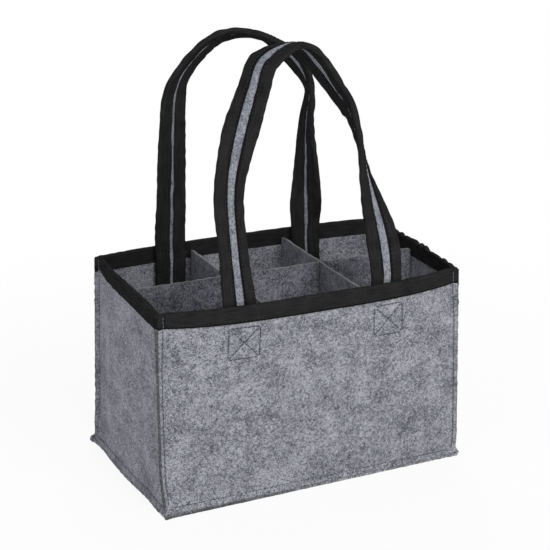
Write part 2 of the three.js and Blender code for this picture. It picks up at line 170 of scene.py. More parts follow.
def wall_middle(wall, u, z):
    """Middle of the felt. u runs -1..1 over the wall, 1..2 round a parabola into the seam and 2..3 out to
    the cut edge. The wall bulges by 1 - u cubed, more toward the rim, and swells a little between its
    seams. Near the rim it sags by 1 - u to the fourth and drops toward its corners."""
    u, z = np.broadcast_arrays(np.asarray(u, float), np.asarray(z, float))
    q = np.abs(u)
    flat = np.minimum(q, 1)
    t = np.clip(q - 1, 0, 1)
    s = wall["seam"]
    reach = SEAM_REACH + np.where(u < 0, *wall["wide_seam"]) * smooth(z, 5, 25)
    edge = np.maximum(q - 2, 0) * (reach + half_seam(z) / math.tan(s) - SEAM_BEND)
    along = flat * wall_run(wall, z) + 2 * t * (1 - t) * SEAM_BEND + t * t * SEAM_BEND * (1 + math.cos(s))
    along = along + edge * math.cos(s)
    wave = 1 - flat ** BULGE_SHARPNESS
    rise = (np.maximum(0, z - WALL_FOOT) / HEIGHT) ** BULGE_RISE
    swell = np.maximum(0.55 + 0.3 * lumps(along * np.sign(u), z, 85, wall["seed"]), 0)
    swell = swell * np.sin(math.pi * np.clip((z - 8) / 135, 0, 1)) * (1 - flat ** 6)
    out = corner_shift(wall["drawn_in"], z) + wall["bulge"] * rise * wave + swell
    out = out + (t * t * SEAM_BEND + edge) * math.sin(s)
    drop = np.where(u < 0, *wall["corner_drop"]) * flat ** 2.2 * smooth(z, HEIGHT - 18, HEIGHT)
    drop = drop + wall["sag"] * (1 - flat ** 4) * smooth(z, HEIGHT - 40, HEIGHT)
    x, y = np.sign(u) * along, -(wall["half"] + out)
    c, d = math.cos(wall["turn"]), math.sin(wall["turn"])
    return settled(x * c - y * d, x * d + y * c, z - drop)


def wall_normal(wall, u, z):
    """Outward direction square to the felt: the slope along the wall crossed with the slope up it."""
    du, dz = 0.004, 0.1
    along = wall_middle(wall, np.clip(u + du, -3, 3), z) - wall_middle(wall, np.clip(u - du, -3, 3), z)
    up = wall_middle(wall, u, z + dz) - wall_middle(wall, u, z - dz)
    return unit(np.cross(along, up))


def on_wall(wall, u, z, w):
    """A point w outside the middle of the felt, square to it."""
    u, z, w = np.broadcast_arrays(np.asarray(u, float), np.asarray(z, float), np.asarray(w, float))
    return wall_middle(wall, u, z) + w[..., None] * wall_normal(wall, u, z)


def make_piece(name, points, faces, uv, material, raw=None):
    """A mesh from points in millimetres, faces as arrays of corners, and a place on the cloth in metres
    per point. raw is 1 on cut edges and 0 on the faces of the cloth."""
    mesh = bpy.data.meshes.new(name)
    corners = [face for group in faces for face in np.asarray(group).tolist()]
    mesh.from_pydata((np.asarray(points).reshape(-1, 3) / 1000).tolist(), [], corners)
    vertex = np.zeros(len(mesh.loops), np.int32)
    mesh.loops.foreach_get("vertex_index", vertex)
    layer = mesh.uv_layers.new(name="cloth")
    layer.data.foreach_set("uv", np.asarray(uv, np.float32).reshape(-1, 2)[vertex].ravel())
    if raw is not None:
        edge = mesh.attributes.new("raw_edge", "FLOAT", "POINT")
        edge.data.foreach_set("value", np.asarray(raw, np.float32).ravel())
    sides = np.zeros(len(mesh.polygons), np.int32)
    mesh.polygons.foreach_get("loop_total", sides)
    mesh.polygons.foreach_set("use_smooth", sides <= 4)
    mesh.validate()
    mesh.update()
    piece = bpy.data.objects.new(name, mesh)
    bpy.context.scene.collection.objects.link(piece)
    mesh.materials.append(material)
    return piece


def felt_sheet(name, outer, inner, uv, material, keep=None, cut=1.0, fringe=0.0):
    """A closed sheet between two grids of points (rows, columns, xyz): both faces, and round every border a
    strip through points midway between them. keep marks the cells of the grid that are felt, cut says how
    dark the cut edge is at each point, painted shade included where it is given, and fringe how far the
    fraying reaches onto both faces."""
    rows, cols = outer.shape[:2]
    n = rows * cols
    keep = np.ones((rows - 1, cols - 1), bool) if keep is None else keep
    at = np.arange(n).reshape(rows, cols)
    a, b, c, d = at[:-1, :-1], at[:-1, 1:], at[1:, 1:], at[1:, :-1]
    face = np.stack([a, b, c, d], -1)[keep]
    ring = np.pad(keep, 1)
    neighbours = (ring[:-2, 1:-1], ring[1:-1, 2:], ring[2:, 1:-1], ring[1:-1, :-2])
    sides = []
    for p, q, beside in zip((a, b, c, d), (b, c, d, a), neighbours):
        open_side = keep & ~beside
        sides.append(np.stack([p[open_side], q[open_side]], -1))
    p, q = np.concatenate(sides).T
    strip_a = np.stack([q, p, p + 2 * n, q + 2 * n], -1)
    strip_b = np.stack([q + 2 * n, p + 2 * n, p + n, q + n], -1)
    raw = np.tile(np.broadcast_to(fringe, (rows, cols)).ravel(), 3)
    raw[p] = raw[p + n] = 0.7
    raw[2 * n:] = 1
    raw = raw * np.tile(np.broadcast_to(cut, (rows, cols)).ravel(), 3)
    points = np.concatenate([outer.reshape(-1, 3), inner.reshape(-1, 3), (outer + inner).reshape(-1, 3) / 2])
    faces = np.concatenate([face, face[:, ::-1] + n, strip_a, strip_b])
    used, faces = np.unique(faces, return_inverse=True)
    flat = np.concatenate([uv.reshape(-1, 2)] * 3)
    return make_piece(name, points[used], [faces.reshape(-1, 4)], flat[used], material, raw[used])


def linear(code):
    """An sRGB hex colour as linear red, green, blue and alpha."""
    c = np.array([int(code[i:i + 2], 16) / 255 for i in (0, 2, 4)])
    return (*np.where(c <= 0.04045, c / 12.92, ((c + 0.055) / 1.055) ** 2.4), 1.0)


def add(tree, kind, inputs=None, **settings):
    """Adds a node: settings are its properties, inputs its sockets' values or the sockets that feed them."""
    node = tree.nodes.new(kind)
    for key, value in settings.items():
        setattr(node, key, value)
    for key, value in (inputs or {}).items():
        if isinstance(value, bpy.types.NodeSocket):
            tree.links.new(value, node.inputs[key])
        else:
            node.inputs[key].default_value = value
    return node


def new_material(name):
    """An empty material and its node tree."""
    material = bpy.data.materials.new(name)
    material.use_nodes = True
    material.node_tree.nodes.clear()
    return material, material.node_tree


def math_node(tree, operation, *values):
    """The result of one operation on up to three values or sockets."""
    return add(tree, "ShaderNodeMath", dict(enumerate(values)), operation=operation).outputs[0]


def place_in_mm(tree):
    """The place on the flat cloth, in millimetres."""
    place = add(tree, "ShaderNodeUVMap", uv_map="cloth").outputs["UV"]
    return add(tree, "ShaderNodeVectorMath", {0: place, "Scale": 1000.0}, operation="SCALE").outputs["Vector"]


def noise(tree, place, size, detail, roughness=0.5):
    """Noise from 0 to 1 with lumps about size across."""
    inputs = {"Vector": place, "Scale": 1 / size, "Detail": detail, "Roughness": roughness}
    return add(tree, "ShaderNodeTexNoise", inputs).outputs["Fac"]


def ranged(tree, value, low, high, to_low=0.0, to_high=1.0, kind="LINEAR"):
    """The value with low..high drawn out to to_low..to_high and held beyond."""
    inputs = {"Value": value, "From Min": low, "From Max": high, "To Min": to_low, "To Max": to_high}
    return add(tree, "ShaderNodeMapRange", inputs, interpolation_type=kind).outputs["Result"]


def strokes(tree, place, turn, apart, size, low, high):
    """Slanting strokes: noise drawn out to size (length, width), turned by degrees and cut between low
    and high. apart moves each direction to another part of the noise."""
    inputs = {"Vector": place, "Location": (turn * apart[0], turn * apart[1], 0.0), "Scale": (*size, 1.0),
              "Rotation": (0, 0, math.radians(turn))}
    lay = add(tree, "ShaderNodeMapping", inputs, vector_type="TEXTURE").outputs["Vector"]
    return ranged(tree, noise(tree, lay, 1.0, 1.0), low, high)


def felt_material(name, shades, cut_edge):
    """Needle-punched polyester felt of mixed grey fibres. Dark and pale fibres lying in all directions
    give strokes 3.4 mm long, tufts 3 mm across and soft clouds. The real fibres are about 0.03 mm thick:
    they are drawn 0.16 to 0.6 mm wide, with a grain of 1 mm, to show."""
    material, tree = new_material(name)
    mm = place_in_mm(tree)
    drift = add(tree, "ShaderNodeTexNoise", {"Vector": mm, "Scale": 1 / 7, "Detail": 2.0}).outputs["Color"]
    drift = add(tree, "ShaderNodeVectorMath", {0: drift, 1: (0.5, 0.5, 0.5)}, operation="SUBTRACT")
    drifted = {0: drift.outputs["Vector"], 1: (4.0, 4.0, 4.0), 2: mm}
    bent = add(tree, "ShaderNodeVectorMath", drifted, operation="MULTIPLY_ADD").outputs["Vector"]
    grain = noise(tree, bent, 1.0, 2.0)
    shade = math_node(tree, "MULTIPLY_ADD", noise(tree, mm, 24, 3.0), 0.8, -0.82)
    shade = math_node(tree, "MULTIPLY_ADD", noise(tree, bent, 9, 2.0), 0.45, shade)
    shade = math_node(tree, "MULTIPLY_ADD", noise(tree, bent, 3.2, 3.0, 0.6), 0.65, shade)
    shade = math_node(tree, "MULTIPLY_ADD", grain, 1.1, shade)
    for turn, weight in ((18, -0.27), (63, -0.27), (107, -0.27), (152, -0.27), (40, 0.25), (128, 0.25)):
        stroke = strokes(tree, bent, turn, (3.1, 1.7), (3.4, 0.6), 0.5, 0.7)
        shade = math_node(tree, "MULTIPLY_ADD", stroke, weight, shade)
    for turn, weight in ((5, -0.21), (50, -0.21), (95, 0.21), (140, 0.21)):
        fibre = strokes(tree, bent, turn, (2.3, 1.1), (2.6, 0.16), 0.52, 0.66)
        shade = math_node(tree, "MULTIPLY_ADD", fibre, weight, shade)
    ramp = add(tree, "ShaderNodeValToRGB", {"Fac": shade})
    stops = ramp.color_ramp.elements
    for i, (spot, code) in enumerate(zip((0.18, 0.46, 0.64, 0.92), shades)):
        stop = stops.new(spot) if i else stops[0]
        stop.position, stop.color = spot, linear(code)
    stops.remove(stops[-1])
    raw = add(tree, "ShaderNodeAttribute", attribute_name="raw_edge").outputs["Fac"]
    frayed = ranged(tree, math_node(tree, "MULTIPLY", raw, grain), 0.12, 0.54)
    colours = {"Factor": frayed, 6: ramp.outputs["Color"], 7: linear(cut_edge)}
    colour = add(tree, "ShaderNodeMix", colours, data_type="RGBA").outputs[2]
    nap = add(tree, "ShaderNodeBump", {"Height": shade, "Strength": 0.5, "Distance": 0.0004})
    skin = add(tree, "ShaderNodeBsdfPrincipled", {"Base Color": colour, "Normal": nap.outputs["Normal"],
                                                  "Roughness": 0.95, "Specular IOR Level": 0.2,
                                                  "Sheen Weight": 0.15, "Sheen Roughness": 0.5})
    add(tree, "ShaderNodeOutputMaterial", {"Surface": skin.outputs["BSDF"]})
    return material


# The outer felt's cut edges are coloured dark: partly the felt's own cut fibres, partly painted shade in the
# seams and a painted shadow under the bottom's front edge.
outer_felt = felt_material("needle_punched_polyester_felt",
                           ("4c4d56", "76777f", "8e8f97", "b3b4ba"), "3c3c39")


def sewn_dent(wall, z, along):
    """How far sewing pulls the outer face in: a groove along the base stitches, deepest at each needle
    hole, and grooves along the square and cross over each strap end."""
    hole = 0.75 + 0.25 * np.cos(2 * math.pi * along / STITCH_PITCH)
    dent = BASE_DENT * hole * bell(z - BASE_STITCH_Z, DENT_WIDTH)
    if wall["bulge"] > 0:
        x, y = np.abs(np.abs(along) - FOOT_X), z - BOX_MIDDLE_Z
        w, h = BOX_WIDTH / 2, BOX_HEIGHT / 2
        inside = (x < w + 2) & (np.abs(y) < h + 2)
        frame_line = np.minimum(np.abs(x - w), np.abs(np.abs(y) - h))
        cross_line = np.abs(x * h - np.abs(y) * w) / math.hypot(w, h)
        dent = dent + BOX_DENT * bell(np.minimum(frame_line, cross_line), DENT_WIDTH) * inside
    return dent


ends = np.concatenate([np.linspace(1, 2, 5), np.linspace(2, 3, 5)[1:]])
near_ends = 1 - 0.02 * np.array([0.75, 0.5, 0.25])
zs = np.concatenate([WALL_FOOT + np.array([0, 0.5, 1.2, 2, 2.7, 3.3]),
                     np.arange(WALL_FOOT + 3.9, WALL_FOOT + 6.2, 0.6),
                     np.linspace(WALL_FOOT + 7, HEIGHT - 2.4, 96), [HEIGHT - FELT_SUNK]])
for side, wall in walls.items():
    columns = 170 if wall["bulge"] else 100
    us = np.concatenate([-ends[::-1], -near_ends[::-1], np.linspace(-0.98, 0.98, columns), near_ends, ends])
    u, z = np.meshgrid(us, zs)
    along = length_along(wall_middle(wall, u, z))
    along = along - (along[:, -1:] + along[:, :1]) / 2
    fray = FRAY * lumps(along, z, TUFT, wall["seed"] + 20)
    z = z + fray * (np.arange(len(zs)) == 0)[:, None]
    hidden = 0.85 * smooth(z, TAPE_EDGE, TAPE_EDGE + 1)
    u = u + np.sign(u) * (0.24 * fray * (np.abs(u) > 2.9) - hidden * smooth(np.abs(u), 2, 3))
    middle = wall_middle(wall, u, z)
    normal = wall_normal(wall, np.clip(u, -3, 3), z)
    pile = PILE * lumps(along, z, TUFT, wall["seed"] + 40) * smooth(np.abs(u), 1.0, 0.97)
    seam = smooth(np.abs(u), 1, 1.6)
    half = FELT / 2 - (FELT - PRESSED) / 2 * seam
    outer = middle + normal * (half + pile - sewn_dent(wall, z, along))[..., None]
    pull = BASE_PULL * smooth(z, WALL_FOOT + 2.5, WALL_FOOT) * smooth(np.abs(u), 1.1, 0.98)
    outer[..., 2] -= pull
    inner = middle - normal * (half + (half_seam(z) + SEAM_OVERLAP - PRESSED / 2) * seam)[..., None]
    uv = np.stack([along / 1000 + wall["seed"], (z - pull) / 1000], -1)
    # Upright cut edges get the full dark, partly painted shade between the seam's two layers; the lower edge
    # gets BASE_CUT.
    dark = np.where(z < WALL_FOOT + 1, BASE_CUT, 1)
    fringe = 0.5 * smooth(np.abs(u), 2.4, 3)
    panel = felt_sheet(f"{side}_felt_wall", outer, inner, uv, outer_felt, cut=dark, fringe=fringe)
    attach(panel, "bag")
    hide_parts(f"{side}_panel")

# Bottom: one felt panel flat on the floor. Its margin lies under the flared walls and is sewn to them,
# with a small ear left where the margins meet at each corner.
EAR_REACH, EAR_LENGTH = 1.6, 9.0
edge_x = WIDTH / 2 + FLARE + FELT / 2 * math.sqrt(0.5)
edge_y = DEPTH / 2 + FLARE + FELT / 2 * math.sqrt(0.5)


def close_to_ends(half, count):
    """Stations from -half to half, closer together toward the two ends."""
    t = np.linspace(-1, 1, count)
    return half * np.sin(t * math.pi / 2)


x, y = np.meshgrid(close_to_ends(edge_x, 120), close_to_ends(edge_y, 80))
ear = smooth(np.abs(x), edge_x - EAR_LENGTH, edge_x) * smooth(np.abs(y), edge_y - EAR_LENGTH, edge_y)
ear = EAR_REACH * ear * np.where(y < 0, np.where(x < 0, 0.3, 0.5), 1)
fray = 0.25 * lumps(x, y, 5, 61)
px = x + np.sign(x) * (ear + fray * (np.abs(x) > edge_x - 0.01))
py = y + np.sign(y) * (ear + fray * (np.abs(y) > edge_y - 0.01))
under = settled(px, py, np.zeros_like(x))
over = settled(px, py, FELT + 0.08 * lumps(x, y, TUFT, 63))
# The bottom's front cut edge is dark on the left and fades to pale toward the right: partly its cut edge,
# partly a painted contact shadow under the front wall.
cut_dark_and_shadow = np.where(y < -edge_y + 2, 1 - 0.9 * smooth(x, -90, 70), BASE_CUT)
uv = np.stack([x / 1000 + 11, y / 1000], -1)
bottom = felt_sheet("bottom_felt", over, under, uv, outer_felt, cut=cut_dark_and_shadow)
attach(bottom, "bag")
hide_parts("bottom_panel")

# Rim bindings: one black woven tape per wall, folded over the felt, 13 mm down the outside and 12 mm
# inside, and sewn along its lower edge. On the right wall it was sewn on gathered, so its fold puckers.
RIM_TOP = HEIGHT + 1.1
INSIDE_EDGE = HEIGHT - 12.0
FOLD_RISE, FOLD_RISE_INSIDE = 1.3, 0.6
TAPE_FACE = FELT / 2 + TAPE_BED + TAPE
LIP, LIP_HEIGHT = 0.3, 3.5
PUCKER_PITCH = 15.0
TAPE_THREAD = 0.9
RIM_STITCH_Z = TAPE_EDGE + 2
WALL_END = 0.985  # the last u of the wall before it bends into the seam
pucker_height = {"front": 0.15, "right": 2.2, "back": 0.25, "left": 0.4}
tape_level = {"front": (0, 0), "right": (0, 0), "back": (0, 0), "left": (1.5, -2.3)}  # lift of the edge, tilt


def tape_material(name, dark, pale):
    """Woven polypropylene tape: flat dull black threads over and under, worn in patches, with streaks along
    the tape. Its first 3 mm round the section, at the lower edge of the rim tape's outer face and beside the
    felt stripe on the straps, carry painted shade. The real threads are about 0.4 mm wide and are drawn at
    0.9 mm to show."""
    material, tree = new_material(name)
    mm = place_in_mm(tree)
    parts = add(tree, "ShaderNodeSeparateXYZ", {"Vector": mm}).outputs
    across = math_node(tree, "SINE", math_node(tree, "MULTIPLY", parts["X"], math.pi / TAPE_THREAD))
    along = math_node(tree, "SINE", math_node(tree, "MULTIPLY", parts["Y"], math.pi / TAPE_THREAD))
    weave = math_node(tree, "MULTIPLY", across, along)
    drawn_out = {0: mm, 1: (1 / 16, 1 / 0.8, 1.0)}
    lengthwise = add(tree, "ShaderNodeVectorMath", drawn_out, operation="MULTIPLY").outputs["Vector"]
    shade = math_node(tree, "MULTIPLY", noise(tree, mm, 9, 4.0), 0.4)
    shade = math_node(tree, "MULTIPLY_ADD", weave, 0.12, shade)
    shade = math_node(tree, "MULTIPLY_ADD", noise(tree, mm, 1.1, 2.0), 0.5, shade)
    shade = math_node(tree, "MULTIPLY_ADD", noise(tree, lengthwise, 1.0, 2.0), 0.7, shade)
    # Painted shade along the first 3 mm of the tape's outer face, beside its stitched edge.
    edge_shade = ranged(tree, parts["Y"], 0.0, 3.0, -0.5, 0.0, "SMOOTHSTEP")
    shade = math_node(tree, "ADD", shade, edge_shade)
    ramp = add(tree, "ShaderNodeValToRGB", {"Fac": shade})
    for stop, spot, code in zip(ramp.color_ramp.elements, (0.55, 1.0), (dark, pale)):
        stop.position, stop.color = spot, linear(code)
    ribs = add(tree, "ShaderNodeBump", {"Height": weave, "Strength": 0.35, "Distance": 0.0002})
    rough = ranged(tree, shade, 0.4, 1.2, 0.85, 0.65)
    skin = add(tree, "ShaderNodeBsdfPrincipled", {"Base Color": ramp.outputs["Color"], "Roughness": rough,
                                                  "Normal": ribs.outputs["Normal"], "IOR": 1.49,
                                                  "Specular IOR Level": 0.0})
    add(tree, "ShaderNodeOutputMaterial", {"Surface": skin.outputs["BSDF"]})
    return material


black_tape = tape_material("black_woven_polypropylene_tape", "191919", "303030")


def carried(name, rings, uv, material):
    """A closed band: rings of points (stations, section, xyz), joined station to station and closed at
    both ends. The faces are turned over where they would look inward."""
    stations, count = rings.shape[:2]
    at = np.arange(stations * count).reshape(stations, count)
    beside = np.roll(at, -1, 1)
    wall_faces = np.stack([at[:-1], beside[:-1], beside[1:], at[1:]], -1).reshape(-1, 4)
    caps = np.stack([at[0][::-1], at[-1]])
    flat = rings.reshape(-1, 3)
    a, b, c = flat[wall_faces[:, 0]], flat[wall_faces[:, 1]], flat[wall_faces[:, 2]]
    turned = np.einsum("ij,ij->", np.cross(b - a, c - a), a - flat.mean(0)) < 0
    if turned:
        wall_faces, caps = wall_faces[:, ::-1], caps[:, ::-1]
    return make_piece(name, flat, [wall_faces, caps], uv, material)


def binding_section():
    """The folded tape in the (distance, height) plane: up the outside, half an ellipse over the felt, down
    the inside, and back along the inner skin. Returns the points and the distance round."""
    arc = np.linspace(0, math.pi, 9)
    top = RIM_TOP - FOLD_RISE
    bed = FELT / 2 + TAPE_BED
    skin_w = np.concatenate([[TAPE_FACE - 0.25], np.full(8, TAPE_FACE), TAPE_FACE * np.cos(arc),
                             np.full(7, -TAPE_FACE), [0.25 - TAPE_FACE]])
    skin_z = np.concatenate([[TAPE_EDGE], np.linspace(TAPE_EDGE + 0.3, top - 0.8, 8),
                             top + FOLD_RISE * np.sin(arc),
                             np.linspace(top - 0.8, INSIDE_EDGE + 0.3, 7), [INSIDE_EDGE]])
    back_w = np.concatenate([np.full(4, -bed), bed * np.cos(arc[::-1][::2]), np.full(4, bed)])
    back_z = np.concatenate([np.linspace(INSIDE_EDGE, top - 1, 4), top + FOLD_RISE_INSIDE * np.sin(arc[::2]),
                             np.linspace(top - 1, TAPE_EDGE, 4)])
    w, z = np.concatenate([skin_w, back_w]), np.concatenate([skin_z, back_z])
    return w, z, length_along(np.stack([w, z], -1))


for side, wall in walls.items():
    columns = 220 if wall["bulge"] else 170
    us = np.concatenate([-ends[::-1], np.linspace(-WALL_END, WALL_END, columns), ends])
    w, z, skin = binding_section()
    u, z = np.meshgrid(us, z, indexing="ij")
    w = np.broadcast_to(w, u.shape)
    outside = w > 0
    far = length_along(wall_middle(wall, us, HEIGHT))[:, None]
    body = smooth(np.abs(u), 1.0, 0.97)
    gather = far + 5 * lumps(far, 0 * far, 45, wall["seed"] + 70)
    uneven = 1 + 0.4 * lumps(far, 0 * far, 25, wall["seed"] + 71)
    wave = np.sqrt(np.sin(math.pi * gather / PUCKER_PITCH) ** 2 + 0.03) - 0.65
    fold = pucker_height[side] * uneven * wave * body
    stitch = -0.2 * bell(z - RIM_STITCH_Z, 1.0) * outside
    lip = LIP * smooth(z, TAPE_EDGE + LIP_HEIGHT, TAPE_EDGE) * outside * body
    slack = 0.12 * lumps(far + 0 * z, z, 14, wall["seed"] + 80) * body
    loose = stitch + slack + lip + 0.35 * fold * smooth(z, HEIGHT - 10, HEIGHT)
    loose = np.sign(w) * loose * (np.abs(w) > 1.7)
    pressed = (FELT - PRESSED) / 2 * smooth(np.abs(u), 1, 1.6)
    level, tilt = tape_level[side]
    slant = (level + tilt * np.clip(u, -1, 1)) * smooth(z, HEIGHT - 2, TAPE_EDGE) * outside
    rounded = -1.6 * smooth(np.abs(u), 2.1, 3) * smooth(z, HEIGHT - 6, HEIGHT)
    height = z + slant + rounded + fold * smooth(z, HEIGHT - 8, HEIGHT)
    pinch = 1 - 0.6 * smooth(np.abs(u), 2.3, 3)
    rings = on_wall(wall, u, height, pinch * (w + loose - np.sign(w) * np.minimum(pressed, np.abs(w))))
    uv = np.stack([far + 0 * u, skin + 0 * u], -1) / 1000
    binding = carried(f"{side}_rim_tape", rings, uv, black_tape)
    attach(binding, "bag")
    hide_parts(f"{side}_rim_binding")

# Divider: one long felt wall and two cross walls, half lapped through slots, standing loose on the bottom.
# They are of felt like that of the walls, with raw cut edges, and coloured darker than the walls' felt as
# painted shade inside the bag.
DIVIDER_TOP, DIVIDER_FLOOR = HEIGHT - 6, FELT + GAP
LAP = (DIVIDER_FLOOR + DIVIDER_TOP) / 2
SLOT = FELT / 2 + GAP
GRID_STEP, RIM_STEP = 2.5, 0.5
long_half = float(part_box("long_divider")[1].x) * 1000
cross_low, cross_high = (np.array(p) * 1000 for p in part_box("right_cross_divider"))
cross_at = (cross_low[0] + cross_high[0]) / 2
# The divider felt's faces are painted darker to stand for the shade inside the bag.
divider_felt_in_painted_shade = felt_material("needle_punched_polyester_divider_felt",
                             ("373840", "60616a", "75767e", "999aa2"), "6a6a68")


def stations(marks, step):
    """Places from the first mark to the last, one on each mark and none further apart than step."""
    spans = []
    for a, b in zip(marks[:-1], marks[1:]):
        spans.append(np.linspace(a, b, max(2, math.ceil((b - a) / step) + 1))[:-1])
    return np.concatenate(spans + [[marks[-1]]])


def divider(name, low, high, slots, slot_rows, place, seed):
    """An upright sheet from low to high along its own line, with slots cut where slot_rows says. place
    turns the distance along, the height and the distance across into x, y and z."""
    marks = [low, low + RIM_STEP] + [s + e for s in slots for e in (-SLOT, SLOT)] + [high - RIM_STEP, high]
    levels = [DIVIDER_FLOOR, DIVIDER_FLOOR + RIM_STEP, LAP - GAP / 2, LAP + GAP / 2,
              DIVIDER_TOP - RIM_STEP, DIVIDER_TOP]
    a, z = np.meshgrid(stations(marks, GRID_STEP), stations(levels, GRID_STEP))
    mid_a, mid_z = (a[:-1, :-1] + a[1:, 1:]) / 2, (z[:-1, :-1] + z[1:, 1:]) / 2
    keep = np.ones(mid_a.shape, bool)
    for s in slots:
        keep &= ~((np.abs(mid_a - s) < SLOT) & slot_rows(mid_z))
    top = z + 0.25 * lumps(a, 0 * a, 9, seed) * (z > DIVIDER_TOP - 0.01)
    half = FELT / 2 + 0.05 * lumps(a, z, TUFT, seed + 1)
    uv = np.stack([a / 1000 + seed, z / 1000], -1)
    piece = felt_sheet(name, place(a, top, half), place(a, top, -half), uv, divider_felt_in_painted_shade, keep)
    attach(piece, "divider_insert")
    return piece


long_wall = divider("long_felt_divider", -long_half, long_half, [-cross_at, cross_at], lambda z: z > LAP,
                    lambda a, z, w: np.stack([a, -w, z], -1), 13)
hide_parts("long_divider")
for side, x, seed in (("left", -cross_at, 17), ("right", cross_at, 19)):
    cross_wall = divider(f"{side}_cross_felt_divider", cross_low[1], cross_high[1], [0.0], lambda z: z < LAP,
                         lambda a, z, w, x=x: np.stack([x + w, a, z], -1), seed)
    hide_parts(f"{side}_cross_divider")

# Strap handles: a felt core with a black woven tape folded over each long edge. A felt stripe shows on the
# face that is outside at the feet. Both ends are sewn flat inside the long walls; the arch curls and twists.
STRAP_HALF, CORE_HALF = 12.5, 11.4
CORE_THICK, STRAP_BED, STRAP_THICK = 1.0, 1.3, 2.1  # half thicknesses: core, under the tapes, over them
STRIPE_HALF, BACK_STRIPE_HALF, STRAP_CURL = 3.0, 1.3, math.radians(25)
EDGE_ROUND, EDGE_ROUND_INSIDE = 1.4, 0.6
FOOT_BOTTOM, HANDLE_RISE = 112.0, 169.0
STRAP_INSET = 4.5
HINGE_Z = RIM_TOP + GAP
FOOT_STEPS, ARCH_STEPS, STRAP_STEP = 24, 240, 1.5
GAPE, GAPE_LENGTH = 1.7, 17.0  # the inner felt line widens where the strap bends over the top
gape_middle = {"front": 266.0, "back": 291.0}
strap_felt = felt_material("needle_punched_polyester_strap_felt",
                           ("52545e", "777a84", "8c8f99", "a6a9b1"), "5a5a57")

# The way of each arch from foot to foot: along, inward and up as shares, and the twist in degrees.
routes = {
    "front": [(-1.036, 0, 0, 0), (-1.09, 0.012, 0.194, -15), (-1.12, 0.026, 0.458, -12),
              (-0.997, 0.041, 0.652, 17), (-0.724, 0.085, 0.875, 52), (-0.518, 0.121, 0.984, 70),
              (0.01, 0.16, 1.016, 106), (0.478, 0.158, 0.826, 103), (0.622, 0.077, 0.7, 81),
              (0.81, 0.071, 0.423, 49), (0.975, 0.028, 0.161, 0), (1, 0, 0, 0)],
    "back": [(-1, 0, 0, 0), (-0.964, 0, 0.353, 12), (-0.944, 0.013, 0.655, 23),
             (-0.833, 0.009, 0.784, 40), (-0.517, 0.042, 0.918, 48), (-0.136, 0.039, 0.964, 64),
             (0.366, 0.047, 0.932, 83), (0.796, 0.048, 0.814, 73), (0.971, 0.07, 0.673, 104),
             (0.992, 0.028, 0.518, 95), (0.999, 0.013, 0.239, 58), (1, 0, 0, 0)],
}


def through(points, count):
    """A smooth curve through the points: cubic spans with end slopes of half the chord of the neighbours."""
    padded = np.concatenate([2 * points[:1] - points[1:2], points, 2 * points[-1:] - points[-2:-1]])
    t = np.linspace(0, len(points) - 1, count)
    i = np.minimum(t.astype(int), len(points) - 2)
    f = (t - i)[:, None]
    a, b, c, d = padded[i], padded[i + 1], padded[i + 2], padded[i + 3]
    slope_b, slope_c = (c - a) / 2, (d - b) / 2
    start = (2 * f ** 3 - 3 * f ** 2 + 1) * b + (f ** 3 - 2 * f ** 2 + f) * slope_b
    return start + (3 * f ** 2 - 2 * f ** 3) * c + (f ** 3 - f ** 2) * slope_c


def strap_line(wall, outward, route):
    """The strap's middle line from foot to foot: places, direction out of its outer face, direction to
    its outer edge, curl in radians per millimetre, and length so far. The face turns from out of the bag
    to out of the arch."""
    side = -outward
    rows = np.array(route, float)
    height = np.linspace(FOOT_BOTTOM, HINGE_Z - 1, FOOT_STEPS)
    risen = smooth(height, FOOT_BOTTOM, HINGE_Z)
    lean_l, lean_r = [1 + (abs(rows[i, 0]) - 1) * risen for i in (0, -1)]
    foot_l = on_wall(wall, -side * u_at(wall, FOOT_X * lean_l, HEIGHT), height, -STRAP_INSET)
    foot_r = on_wall(wall, side * u_at(wall, FOOT_X * lean_r, HEIGHT), height, -STRAP_INSET)[::-1]
    top = on_wall(wall, side * u_at(wall, FOOT_X, HEIGHT), HINGE_Z, -STRAP_INSET)
    arch_y = top[1] - outward * rows[:, 1] * HANDLE_RISE
    arch_z = HINGE_Z + GAP / 2 + rows[:, 2] * HANDLE_RISE
    arch = through(np.stack([rows[:, 0] * FOOT_X, arch_y, arch_z], -1), ARCH_STEPS)
    share = np.linspace(0, 1, ARCH_STEPS)
    from_end = np.minimum(share, 1 - share)
    foot = np.zeros(FOOT_STEPS)
    turn = np.concatenate([foot, through(rows[:, 3:], ARCH_STEPS)[:, 0] * smooth(from_end, 0, 0.05), foot])
    curl = np.concatenate([foot, smooth(from_end, 0, 0.18), foot]) * STRAP_CURL / (2 * STRAP_HALF)
    line = np.concatenate([foot_l, arch, foot_r])
    far = length_along(line)
    s = np.linspace(0, far[-1], int(far[-1] / STRAP_STEP))
    line = np.stack([np.interp(s, far, line[:, k]) for k in range(3)], -1)
    for _ in range(6):
        line[1:-1] = (line[:-2] + 2 * line[1:-1] + line[2:]) / 4
    turn, curl = np.interp(s, far, np.radians(turn))[:, None], np.interp(s, far, curl)
    tangent = unit(np.gradient(line, axis=0))
    face = np.array([0.0, outward, 0.0])
    face = unit(face - tangent * (tangent @ face)[:, None])
    out = np.cross(face, tangent) * -outward
    n = np.cos(turn) * face + np.sin(turn) * out
    e = np.cos(turn) * out - np.sin(turn) * face
    return line, n, e, curl, s


def on_strap(line, n, e, curl, se, sn):
    """Points se toward the strap's outer edge and sn out of its outer face, with the section rolled on an
    arc of the curl so that both edges turn back."""
    bend = np.maximum(curl, 1e-6)[:, None]
    radius = 1 / bend
    ce, cn = (radius + sn) * np.sin(se * bend), (radius + sn) * np.cos(se * bend) - radius
    return line[:, None] + ce[..., None] * e[:, None] + cn[..., None] * n[:, None]


def hinge_band(wall):
    """Where a strap begins to follow its handle and where it follows it wholly, in metres."""
    hinge_y = float(on_wall(wall, u_at(wall, FOOT_X, HEIGHT), HINGE_Z, 0)[1]) / 1000
    return (0, hinge_y, (HINGE_Z - 1) / 1000), (0, hinge_y, (HINGE_Z + 12) / 1000)


